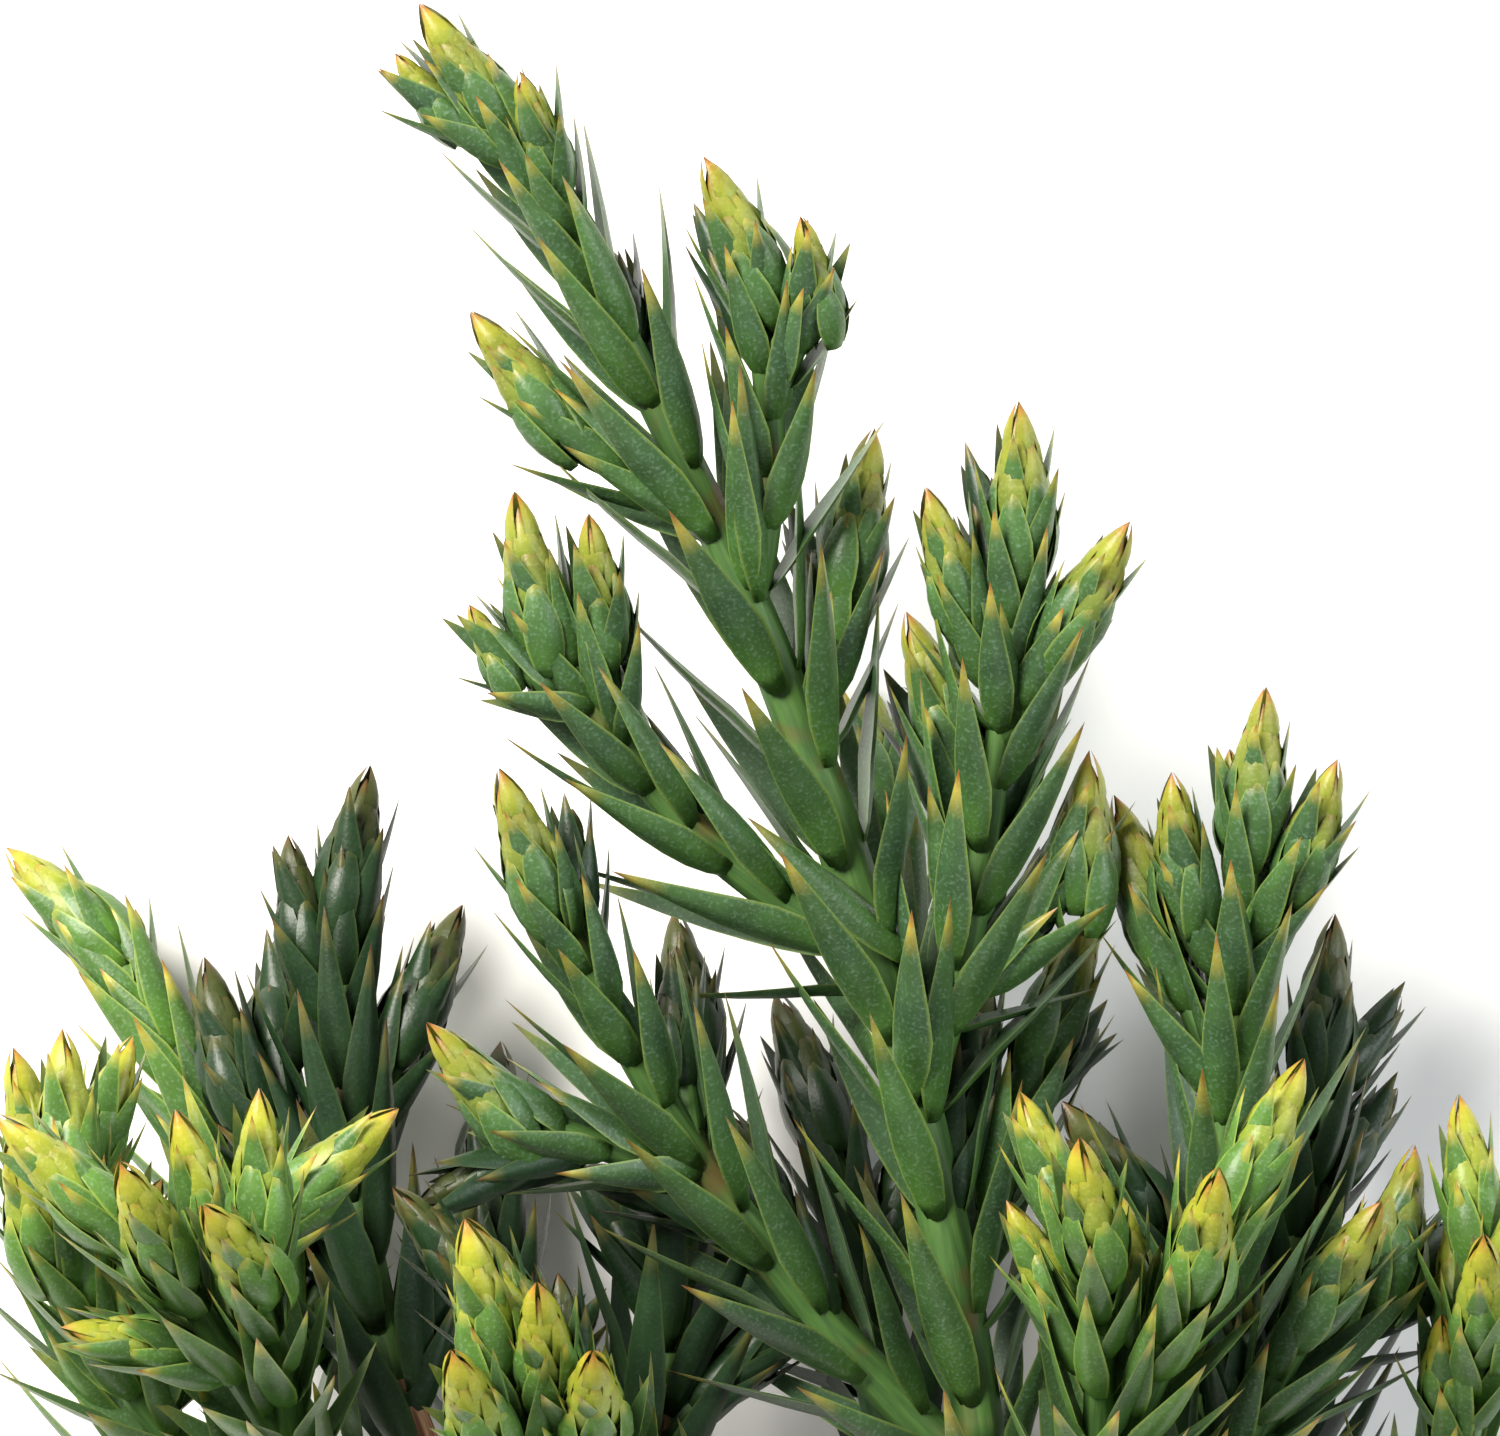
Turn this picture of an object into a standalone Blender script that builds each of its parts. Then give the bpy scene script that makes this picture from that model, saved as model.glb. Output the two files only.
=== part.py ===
# A cut branch of blue carpet juniper, lying on its side: a creeping woody stem, the boughs that
# rise from it and the leafy spray that each bough carries. The leafy tips point up the +Y axis,
# +Z is away from the floor. Lengths are in millimetres, and the meshes are made in metres.

import math
import random

import bmesh
import bpy
import numpy as np
from mathutils import Vector

MM = 0.001
SEED = 11

# Moves the whole branch so that it rests on the floor with its box centred over the origin
PLACE = Vector((-0.5, 7.64, -0.2))

# The creeping stem, from its flat cut to where its last shoot rises
STEM_CUT = Vector((30.0, -43.5, 1.75))
STEM_END = Vector((-23.0, -35.0, 12.0))
STEM_ARCH = Vector((0.0, 4.0, 9.0))
STEM_RADIUS = (1.7, 1.0)

# A bough is woody and carries a spray, whose own stem is green. Pieces keep clear of each other
CLEAR = 0.3
BOUGH_RADIUS = (1.0, 0.85)
BOUGH_LENGTH = 6.5
LIMB_STEP = 3.0
TWIG_STEP = 4.5
TWIG_RADIUS = (0.45, 0.95)
TWIG_RADIUS_PER_MM = 0.014
TWIG_SIDES = 3

# Pairs give a size at the tip of a shoot and the size once that much of the shoot is above it
FULL_SIZE_ABOVE = 26.0
NEEDLES_IN_WHORL = 3
WHORL_SPACING = (2.9, 5.2)
NEEDLE_LENGTH = (3.6, 8.4)
NEEDLE_WIDTH = (1.45, 1.95)
NEEDLE_SPREAD = (18.0, 29.0)
NEEDLE_THICKNESS = 0.6
NEEDLE_WIDEST_AT = 0.3
NEEDLE_CURL = 0.05
NEEDLE_ROOT_DEPTH = 0.3
NEEDLE_LEAST_HEIGHT = 0.25
FRONT_NEEDLE_TURN = 22.0

# Closed scales at each tip, as one spindle: how far from its tip, and how wide, each ring is
BUD_LENGTH = 4.6
BUD_RADIUS = 1.35
BUD_RINGS = ((0.62, 1.0), (0.22, 0.62))
BUD_SIDES = 5
BUD_ROOT_DEPTH = 1.0
SMALL_SHOOT = 11.0
SMALL_BUD = 0.75

# Twigs on the side that the front shoots hide, by a seeded rule
BACK_TWIG_EVERY = 15.0
BACK_TWIG_LENGTH = (7.0, 10.0)
BACK_TWIG_SPREAD = 38.0
BACK_TWIG_ROOM = 1.6
BACK_TWIG_LEAST_HEIGHT = 2.2

# Each spray's shoots, its main one first. A shoot gives the one that it rises from, how far along
# that one, its length, its heading (degrees right of +Y), its rise (degrees towards +Z) and its
# bend (degrees that it turns to the left on its way)
SPRAYS = {
    "leader_spray": {
        "leader": ("stem", 0.37, 72.0, -19.4, 9, 30),
        "leader_tip_left": ("leader", 0.9, 6.5, -50, 8, -24),
        "leader_tip_right": ("leader", 0.84, 8.0, -17, 22, 0),
        "upper_left": ("leader", 0.67, 13.0, -49, 4, -22),
        "upright": ("leader", 0.62, 18.5, -6, 14, 40),
        "upright_bud": ("upright", 0.45, 8.0, 10, 23, 46),
        "behind_right": ("leader", 0.52, 14.0, 10, -4, -2),
        "left": ("leader", 0.41, 24.0, -38, 11, -54),
        "left_low": ("left", 0.63, 6.5, -51, 8, -46),
        "left_bud": ("left", 0.57, 9.5, -6, 20, 4),
        "right": ("leader", 0.32, 29.5, 8, 14, 20),
        "right_inner": ("right", 0.56, 10.0, -19, 13, -2),
        "right_outer": ("right", 0.52, 11.0, 30, 20, 0),
        "right_behind": ("right", 0.24, 13.5, -10, 3, 22),
        "right_low": ("right", 0.14, 12.0, 29, 2, 54),
        "behind_middle": ("leader", 0.33, 21.0, -6, -38, 0),
        "behind_low": ("leader", 0.19, 18.0, 18, -9, -10),
    },
    "lower_left_spray": {
        "lower_left": ("leader", 0.1, 36.5, -34, 15, -28),
        "lower_left_side": ("lower_left", 0.49, 13.0, -62, 14, -46),
    },
    "right_spray": {
        "spire": ("stem", 0.24, 42.5, 4.8, 13, 0),
        "spire_bud": ("spire", 0.82, 5.0, -9, 3, -10),
        "spire_right": ("spire", 0.73, 9.5, 25, 17, 16),
        "spire_left": ("spire", 0.69, 10.0, -16, 13, -20),
        "spire_low": ("spire", 0.6, 13.0, -21, 0, -4),
    },
    "back_right_spray": {
        "back_right": ("stem", 0.18, 33.0, 6, 1, 0),
    },
    "front_right_spray": {
        "front_right": ("stem", 0.32, 28.5, 0, 38, 20),
        "front_right_side": ("front_right", 0.35, 18.0, 19, 38, 20),
    },
    "low_right_spray": {
        "low_right": ("stem", 0.29, 25.5, 28, 27, -4),
        "low_right_back": ("low_right", 0.49, 14.5, 31, -12, 38),
    },
    "far_right_spray": {
        "far_right": ("stem", 0.08, 28.0, 14, 28, 0),
        "far_right_inner": ("far_right", 0.56, 11.5, 2, 45, 10),
        "far_right_low": ("far_right", 0.49, 8.0, -7, 36, -6),
    },
    "dark_spray": {
        "dark": ("stem", 0.77, 34.5, -8, -10, -38),
        "dark_upper": ("dark", 0.67, 9.0, -15, -8, -12),
        "dark_left": ("dark", 0.42, 14.0, -29, -10, -30),
        "dark_right": ("dark", 0.54, 11.5, 24, -15, 0),
    },
    "far_left_spray": {
        "far_left": ("stem", 0.93, 33.5, -21, -18, 54),
        "far_left_upper": ("far_left", 0.69, 6.0, -14, -20, -30),
        "far_left_low": ("far_left", 0.46, 7.0, 2, -24, 16),
    },
    "front_left_spray": {
        "front_left": ("stem", 0.88, 26.0, -34, 29, -40),
        "front_left_inner": ("front_left", 0.43, 13.5, 4, 20, 42),
    },
    "end_spray": {
        "end": ("stem", 0.99, 24.0, -18, 17, -10),
    },
    "near_left_spray": {
        "near_left": ("stem", 0.82, 29.0, -32, 43, -20),
        "near_left_side": ("near_left", 0.37, 16.5, -17, 50, 32),
    },
    "low_middle_spray": {
        "low_middle": ("stem", 0.62, 23.0, -27, 36, -4),
    },
    "near_middle_spray": {
        "near_middle": ("stem", 0.55, 26.5, -32, 49, -54),
        "near_middle_left": ("near_middle", 0.42, 16.0, -44, 52, -52),
        "near_middle_right": ("near_middle", 0.4, 14.0, -12, 58, -24),
    },
    "back_middle_spray": {
        "back_middle": ("stem", 0.68, 29.0, 6, -12, 28),
    },
    "back_centre_spray": {
        "back_centre": ("stem", 0.42, 28.5, -14, -14, 12),
    },
    "back_left_spray": {
        "back_left": ("stem", 0.73, 25.0, -4, -26, -14),
    },
}

NEEDLE_GREEN = (0.05, 0.16, 0.07)
BARK_BROWN = (0.19, 0.10, 0.05)


def mix(pair, share):
    """The value a share of the way from the first of a pair to the second."""
    return pair[0] + (pair[1] - pair[0]) * min(max(share, 0.0), 1.0)


class Axis:
    """The middle line of a stem or shoot: a plain curve through its foot and tip."""

    def __init__(self, foot, control, tip):
        self.foot, self.control, self.tip = foot, control, tip
        steps = [self.at(i / 40) for i in range(41)]
        self.length = sum((b - a).length for a, b in zip(steps, steps[1:]))

    def at(self, t):
        return self.foot * (1 - t) ** 2 + self.control * 2 * t * (1 - t) + self.tip * t**2

    def along(self, t):
        return ((self.control - self.foot) * (1 - t) + (self.tip - self.control) * t).normalized()

    def shares(self, start, end, step):
        """Shares of the way from start to end, about a step apart."""
        count = max(1, round(self.length * (end - start) / step))
        return [start + (end - start) * i / count for i in range(count + 1)]

    def points(self, start, end, step):
        return [self.at(t) for t in self.shares(start, end, step)]


def shoot_axis(parent, at, length, heading, rise, bend):
    """The axis of a shoot that rises from a parent axis, from its named sizes."""
    turn, climb = math.radians(heading), math.radians(rise)
    flat = length * math.cos(climb)
    chord = Vector((math.sin(turn) * flat, math.cos(turn) * flat, length * math.sin(climb)))
    aside = Vector((math.cos(turn), -math.sin(turn), 0.0))
    foot = parent.at(at)
    control = foot + chord / 2 + aside * (flat / 2 * math.tan(math.radians(bend) / 2))
    return Axis(foot, control, foot + chord)


def frame_at(along):
    """Two directions square to an axis: the one nearest to +Z, and the one to its left."""
    front = (Vector((0, 0, 1)) - along * along.z).normalized()
    return front, front.cross(along)


def outward_at(along, turn):
    front, left = frame_at(along)
    return front * math.cos(turn) + left * math.sin(turn)


def ring(middle, along, radius, sides):
    """Points round an axis, the first of them in front."""
    turns = (2 * math.pi * i / sides for i in range(sides))
    return [middle + outward_at(along, turn) * radius for turn in turns]


def twig_radius(above):
    """A green shoot is thicker the more of it there is above."""
    return min(TWIG_RADIUS[0] + TWIG_RADIUS_PER_MM * above, TWIG_RADIUS[1])


def nearest(start, end, starts, ends):
    """The least distance from one straight piece to each of many, and the shares where it is."""
    p, d, e = np.array(start), np.array(end - start), ends - starts
    r = p - starts
    a, ee = max(float(d @ d), 1e-12), np.einsum("ij,ij->i", e, e)
    f, c, b = np.einsum("ij,ij->i", e, r), r @ d, e @ d
    s = np.clip((b * f - c * ee) / np.maximum(a * ee - b * b, 1e-12), 0, 1)
    t = np.clip((b * s + f) / ee, 0, 1)
    s = np.clip((b * t - c) / a, 0, 1)
    gap = (p + s[:, None] * d) - (starts + t[:, None] * e)
    return np.linalg.norm(gap, axis=1), s, t


class Room:
    """What is already placed, as tapering straight pieces of each node's shoots."""

    def __init__(self):
        self.nodes, self.shoots, self.ends, self.radii = [], [], [], []

    def add(self, node, shoot, points, radii):
        for i in range(len(points) - 1):
            self.nodes.append(node)
            self.shoots.append(shoot)
            self.ends.append((points[i], points[i + 1]))
            self.radii.append((radii[i], radii[i + 1]))

    def clear(self, node, shoot, points, radii):
        """Whether pieces keep clear of other nodes and, past the first, out of other shoots."""
        ends, thick = np.array(self.ends), np.array(self.radii)
        inside = np.array([n == node for n in self.nodes])
        own = np.array([n == node and s == shoot for n, s in zip(self.nodes, self.shoots)])
        for i in range(len(points) - 1):
            away, s, t = nearest(points[i], points[i + 1], ends[:, 0], ends[:, 1])
            least = radii[i] + (radii[i + 1] - radii[i]) * s
            least = least + thick[:, 0] + (thick[:, 1] - thick[:, 0]) * t
            least = np.where(inside, least, least + CLEAR)
            tested = ~own if i else ~inside
            if np.any((away < least) & tested):
                return False
        return True


def needle_points(axis, t, turn, above, chance):
    """Root, widest place and tip of a needle, with its half width and its outward way."""
    grown = above / FULL_SIZE_ABOVE
    length = mix(NEEDLE_LENGTH, grown) * chance.uniform(0.95, 1.05)
    spread = math.radians(mix(NEEDLE_SPREAD, grown * 1.6) + chance.uniform(-2, 2))
    along = axis.along(t)
    outward = outward_at(along, turn + math.radians(chance.uniform(-5, 5)))
    way = along * math.cos(spread) + outward * math.sin(spread)
    skin = axis.at(t) + outward * (twig_radius(above) * 0.4)
    root = axis.at(t) - along * NEEDLE_ROOT_DEPTH + outward * 0.1
    tip = skin + (way * (1 - NEEDLE_CURL) + along * NEEDLE_CURL) * length
    return (root, skin + way * (length * NEEDLE_WIDEST_AT), tip), mix(NEEDLE_WIDTH, grown) / 2, outward


def loft(rings, below=None, above=None):
    """One closed skin over rings of points, with a point or a flat face at each end."""
    shape = bmesh.new()
    made = [[shape.verts.new((p + PLACE) * MM) for p in points] for points in rings]
    sides = len(rings[0])
    for lower, upper in zip(made, made[1:]):
        for i in range(sides):
            j = (i + 1) % sides
            shape.faces.new((lower[i], lower[j], upper[j], upper[i]))
    for end, point in ((made[0], below), (made[-1], above)):
        if point is None:
            shape.faces.new(end)
            continue
        apex = shape.verts.new((point + PLACE) * MM)
        for i in range(sides):
            shape.faces.new((end[i], end[(i + 1) % sides], apex))
    bmesh.ops.recalc_face_normals(shape, faces=shape.faces)
    data = bpy.data.meshes.new("loft")
    shape.to_mesh(data)
    shape.free()
    return data


def needle_mesh(points, half_width, outward):
    """A three-sided needle, flat within and keeled without, with its root sunk in the stem."""
    root, widest, tip = points
    across = (tip - widest).cross(outward).normalized()
    up = across.cross(tip - widest).normalized()
    keel = half_width * NEEDLE_THICKNESS
    edges = [widest + across * (half_width * side) - up * (keel / 2) for side in (1, -1)]
    return loft([[widest + up * keel, *edges]], root, tip)


def twig_mesh(axis, start, end):
    """The green stem of a shoot, flat at both ends."""
    rings = []
    for t in axis.shares(start, end, TWIG_STEP):
        radius = twig_radius((1 - t) * axis.length) * 1.15
        rings.append(ring(axis.at(t), axis.along(t), radius, TWIG_SIDES))
    return loft(rings)


def bud_size(axis):
    """Length and radius of the bud at a shoot's tip."""
    share = 1.0 if axis.length > SMALL_SHOOT else SMALL_BUD * axis.length / SMALL_SHOOT
    return BUD_LENGTH * max(share, 0.55), BUD_RADIUS * max(share, 0.7)


def bud_mesh(axis, length, radius):
    """The closed scales at a shoot's tip, as one spindle."""
    along, tip = axis.along(1), axis.tip
    rings = [ring(tip - along * (length * k), along, radius * w, BUD_SIDES) for k, w in BUD_RINGS]
    return loft(rings, tip - along * (length + BUD_ROOT_DEPTH), tip)


def woody_limb(name, axis, start, end, radius, parts, material):
    """A round tapering limb with flat ends: a bevelled curve, made a mesh."""
    curve = bpy.data.curves.new(name, "CURVE")
    curve.dimensions = "3D"
    curve.bevel_depth = 1.0
    curve.bevel_resolution = 2
    curve.use_fill_caps = True
    points = axis.points(start, end, LIMB_STEP)
    spline = curve.splines.new("POLY")
    spline.points.add(len(points) - 1)
    for i, (place, point) in enumerate(zip(spline.points, points)):
        place.co = (*((point + PLACE) * MM), 1.0)
        place.radius = mix(radius, i / (len(points) - 1)) * MM
    holder = bpy.data.objects.new(name, curve)
    parts.objects.link(holder)
    bpy.context.view_layer.update()
    data = bpy.data.meshes.new_from_object(holder.evaluated_get(bpy.context.evaluated_depsgraph_get()))
    bpy.data.objects.remove(holder)
    bpy.data.curves.remove(curve)
    shape = bmesh.new()
    shape.from_mesh(data)
    bmesh.ops.remove_doubles(shape, verts=shape.verts, dist=1e-6)
    bmesh.ops.recalc_face_normals(shape, faces=shape.faces)
    shape.to_mesh(data)
    shape.free()
    data.materials.clear()
    data.materials.append(material)
    data.set_sharp_from_angle(angle=math.radians(40))
    parts.objects.link(bpy.data.objects.new(name, data))


def keep_largest_body(data):
    """Drops what the fusing left loose, and fills any hollow that it sealed."""
    shape = bmesh.new()
    shape.from_mesh(data)
    left, bodies = set(shape.faces), []
    while left:
        body, edge = set(), [left.pop()]
        while edge:
            face = edge.pop()
            body.add(face)
            near = {f for e in face.edges for f in e.link_faces} & left
            left -= near
            edge.extend(near)
        bodies.append(body)
    kept = max(bodies, key=lambda faces: sum(f.calc_area() for f in faces))
    bmesh.ops.delete(shape, geom=[f for f in shape.faces if f not in kept], context="FACES")
    shape.to_mesh(data)
    shape.free()


def join_spray(name, meshes, parts, helpers, material):
    """Fuses a spray's twigs, needles and buds into one closed solid."""
    body = bpy.data.objects.new(name, meshes[0])
    parts.objects.link(body)
    pieces = [bpy.data.objects.new(name + "_piece", data) for data in meshes[1:]]
    for piece in pieces:
        piece.hide_render = True
        piece.display_type = "WIRE"
        helpers.objects.link(piece)
    union = body.modifiers.new("join", "BOOLEAN")
    union.operation = "UNION"
    union.operand_type = "COLLECTION"
    union.collection = helpers
    union.solver = "EXACT"
    bpy.context.view_layer.update()
    data = bpy.data.meshes.new_from_object(body.evaluated_get(bpy.context.evaluated_depsgraph_get()))
    body.modifiers.remove(union)
    body.data = data
    data.name = name
    for piece in pieces:
        bpy.data.objects.remove(piece)
    for used in meshes:
        bpy.data.meshes.remove(used)
    keep_largest_body(data)
    data.materials.clear()
    data.materials.append(material)


def plain_material(name, colour, roughness):
    material = bpy.data.materials.new(name)
    material.use_nodes = True
    shader = material.node_tree.nodes["Principled BSDF"]
    shader.inputs["Base Color"].default_value = (*colour, 1.0)
    shader.inputs["Roughness"].default_value = roughness
    shader.inputs["Metallic"].default_value = 0.0
    material.diffuse_color = (*colour, 1.0)
    return material


def clear_start(axis, parent, parent_radius, radius):
    """The first share of the way at which a limb's flat foot is clear of the limb below it."""
    line = parent.points(0, 1, 0.4)
    t = 0.0
    while t < 0.5:
        rim = ring(axis.at(t), axis.along(t), radius, 8)
        if min((p - q).length for p in rim for q in line) > parent_radius + CLEAR + 0.05:
            break
        t += 0.03 / axis.length
    return t


def grow_limbs(parts, bark, axes, room):
    """The stem and the boughs. Gives the share of the way at which each green shoot starts."""
    stem = axes["stem"]
    woody_limb("cut_stem", stem, 0, 1, STEM_RADIUS, parts, bark)
    room.add("cut_stem", "stem", stem.points(0, 1, LIMB_STEP), [STEM_RADIUS[0]] * 60)
    starts = {}
    for spray, shoots in SPRAYS.items():
        main = next(iter(shoots))
        parent, at = shoots[main][:2]
        axis = axes[main]
        if parent != "stem":
            starts[main] = clear_start(axis, axes[parent], BOUGH_RADIUS[0], TWIG_RADIUS[1])
            continue
        foot = clear_start(axis, stem, mix(STEM_RADIUS, at), BOUGH_RADIUS[0])
        top = foot + BOUGH_LENGTH / axis.length
        bough = spray.replace("spray", "bough")
        woody_limb(bough, axis, foot, top, BOUGH_RADIUS, parts, bark)
        room.add(bough, main, axis.points(foot, top, LIMB_STEP), [BOUGH_RADIUS[0]] * 10)
        starts[main] = top + CLEAR / axis.length
    return starts


def grow_back_twigs(axes, room):
    """Adds short twigs behind the long shoots, where there is room for them."""
    chance = random.Random(SEED)
    for spray, shoots in SPRAYS.items():
        for name in list(shoots):
            axis = axes[name]
            above = BACK_TWIG_EVERY
            while above < axis.length * 0.8:
                t = 1 - above / axis.length
                turn = math.pi + chance.choice((-1, 1)) * math.radians(chance.uniform(15, 50))
                spread = math.radians(BACK_TWIG_SPREAD)
                along = axis.along(t)
                way = along * math.cos(spread) + outward_at(along, turn) * math.sin(spread)
                foot = axis.at(t)
                tip = foot + way * chance.uniform(*BACK_TWIG_LENGTH)
                twig = Axis(foot, (foot + tip) / 2 + along * 0.6, tip)
                line = twig.points(0.2, 1, 2)
                wide = [BACK_TWIG_ROOM] * len(line)
                if tip.z > BACK_TWIG_LEAST_HEIGHT and room.clear(spray, name, line, wide):
                    found = f"{name}_twig_{round(above)}"
                    shoots[found] = (name,)
                    axes[found] = twig
                    room.add(spray, found, line, [BACK_TWIG_ROOM / 2] * len(line))
                above += BACK_TWIG_EVERY


def whorls(axis, start, bud_length):
    """Shares of the way where whorls sit, with the length of shoot above each."""
    above, found = bud_length * 0.8, []
    while above < axis.length * (1 - start) - 0.8:
        found.append((1 - above / axis.length, above))
        above += mix(WHORL_SPACING, above / FULL_SIZE_ABOVE)
    return found


def grow_spray(spray, shoots, axes, starts, room):
    """The meshes of one spray: each shoot's stem and bud, and the needles that have room."""
    chance = random.Random(spray)
    meshes = []
    for name in shoots:
        axis, start = axes[name], starts.get(name, 0.0)
        length, radius = bud_size(axis)
        meshes.append(twig_mesh(axis, start, 1 - length * 0.55 / axis.length))
        meshes.append(bud_mesh(axis, length, radius))
        turn = math.radians(FRONT_NEEDLE_TURN)
        for t, above in whorls(axis, start, length):
            for i in range(NEEDLES_IN_WHORL):
                around = turn + 2 * math.pi * i / NEEDLES_IN_WHORL
                points, half_width, outward = needle_points(axis, t, around, above, chance)
                radii = (half_width / 2, half_width, 0.02)
                low = min(points[1].z, points[2].z) < NEEDLE_LEAST_HEIGHT
                if low or not room.clear(spray, name, points, radii):
                    continue
                room.add(spray, name, points[1:], radii[1:])
                meshes.append(needle_mesh(points, half_width, outward))
            turn += math.pi / NEEDLES_IN_WHORL
    return meshes


def build():
    for thing in list(bpy.data.objects):
        bpy.data.objects.remove(thing)
    parts = bpy.data.collections.new("blue_carpet_juniper")
    helpers = bpy.data.collections.new("helpers")
    bpy.context.scene.collection.children.link(parts)
    bpy.context.scene.collection.children.link(helpers)
    bark = plain_material("bark", BARK_BROWN, 0.85)
    green = plain_material("needles", NEEDLE_GREEN, 0.5)

    room = Room()
    axes = {"stem": Axis(STEM_CUT, (STEM_CUT + STEM_END) / 2 + STEM_ARCH, STEM_END)}
    for shoots in SPRAYS.values():
        for name, (parent, *sizes) in shoots.items():
            axes[name] = shoot_axis(axes[parent], *sizes)
    starts = grow_limbs(parts, bark, axes, room)
    for spray, shoots in SPRAYS.items():
        for name in shoots:
            axis = axes[name]
            line = axis.points(starts.get(name, 0.0), 1, 3)
            room.add(spray, name, line, [twig_radius(axis.length)] * len(line))
            length, radius = bud_size(axis)
            middle = axis.tip - axis.along(1) * (length * BUD_RINGS[0][0])
            room.add(spray, name, (middle, axis.tip), (radius, 0.1))
    grow_back_twigs(axes, room)
    for spray, shoots in SPRAYS.items():
        join_spray(spray, grow_spray(spray, shoots, axes, starts, room), parts, helpers, green)


build()
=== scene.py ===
import math
import random
from itertools import product

import bmesh
import bpy
from mathutils import Matrix, Vector, kdtree, noise


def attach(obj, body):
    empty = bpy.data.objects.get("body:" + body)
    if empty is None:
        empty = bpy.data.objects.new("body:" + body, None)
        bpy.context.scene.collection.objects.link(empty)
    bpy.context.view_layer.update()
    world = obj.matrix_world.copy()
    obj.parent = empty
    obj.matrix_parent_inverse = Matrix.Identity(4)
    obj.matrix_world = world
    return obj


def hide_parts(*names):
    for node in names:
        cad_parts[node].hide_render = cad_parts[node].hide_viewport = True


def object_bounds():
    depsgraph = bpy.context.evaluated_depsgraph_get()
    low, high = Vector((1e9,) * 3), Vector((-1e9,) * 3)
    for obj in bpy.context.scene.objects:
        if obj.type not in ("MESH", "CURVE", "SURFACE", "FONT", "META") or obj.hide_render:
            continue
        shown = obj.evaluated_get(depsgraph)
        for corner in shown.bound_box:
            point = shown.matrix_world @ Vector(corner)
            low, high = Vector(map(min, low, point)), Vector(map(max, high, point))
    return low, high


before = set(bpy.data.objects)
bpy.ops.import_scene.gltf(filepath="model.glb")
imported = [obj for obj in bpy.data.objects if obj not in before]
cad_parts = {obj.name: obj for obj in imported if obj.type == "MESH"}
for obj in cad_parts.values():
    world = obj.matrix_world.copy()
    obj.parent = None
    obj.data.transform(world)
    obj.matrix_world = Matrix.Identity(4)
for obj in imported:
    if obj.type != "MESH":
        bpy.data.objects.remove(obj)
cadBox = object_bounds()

mm = 0.001  # sizes are millimetres, apart from the camera's, the lamps' and the floor's metres

# Where the branch lies, the same shift as the solids have
placing = {"shift": Vector((-0.5, 7.64, -0.2))}

# The creeping stem, from its flat cut to where its last shoot rises
stemSizes = {
    "cut": Vector((30.0, -43.5, 1.75)),
    "end": Vector((-23.0, -35.0, 12.0)),
    "arch": Vector((0.0, 4.0, 9.0)),  # from the middle of those two to the curve's control point
    "radius": (1.7, 1.0),
    "ringStep": 0.9,
    "sides": 28,
}

# The woody foot of each upright shoot
boughSizes = {
    "radius": (1.0, 0.85),
    "woody": 9.0,  # where the green stem starts, above the foot
    "intoShoot": 0.8,  # how far the wood goes on inside it
    "needlesFrom": 5.0,
    "flare": 0.45,  # what the foot gains where it spreads into the stem
    "flareFade": 3.2,  # the flare is gone at one part in this many of the wood
    "ringStep": 0.6,
    "sides": 18,
}

# Green stems. The radius is the tip's, what each mm below the tip adds, and the widest
twigSizes = {
    "radius": (0.4, 0.015, 0.95),
    "belowTip": 1.6,  # where it ends, inside the bud
    "ridge": 0.07,
    "ringStep": 1.1,
    "sides": 12,
}

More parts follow.
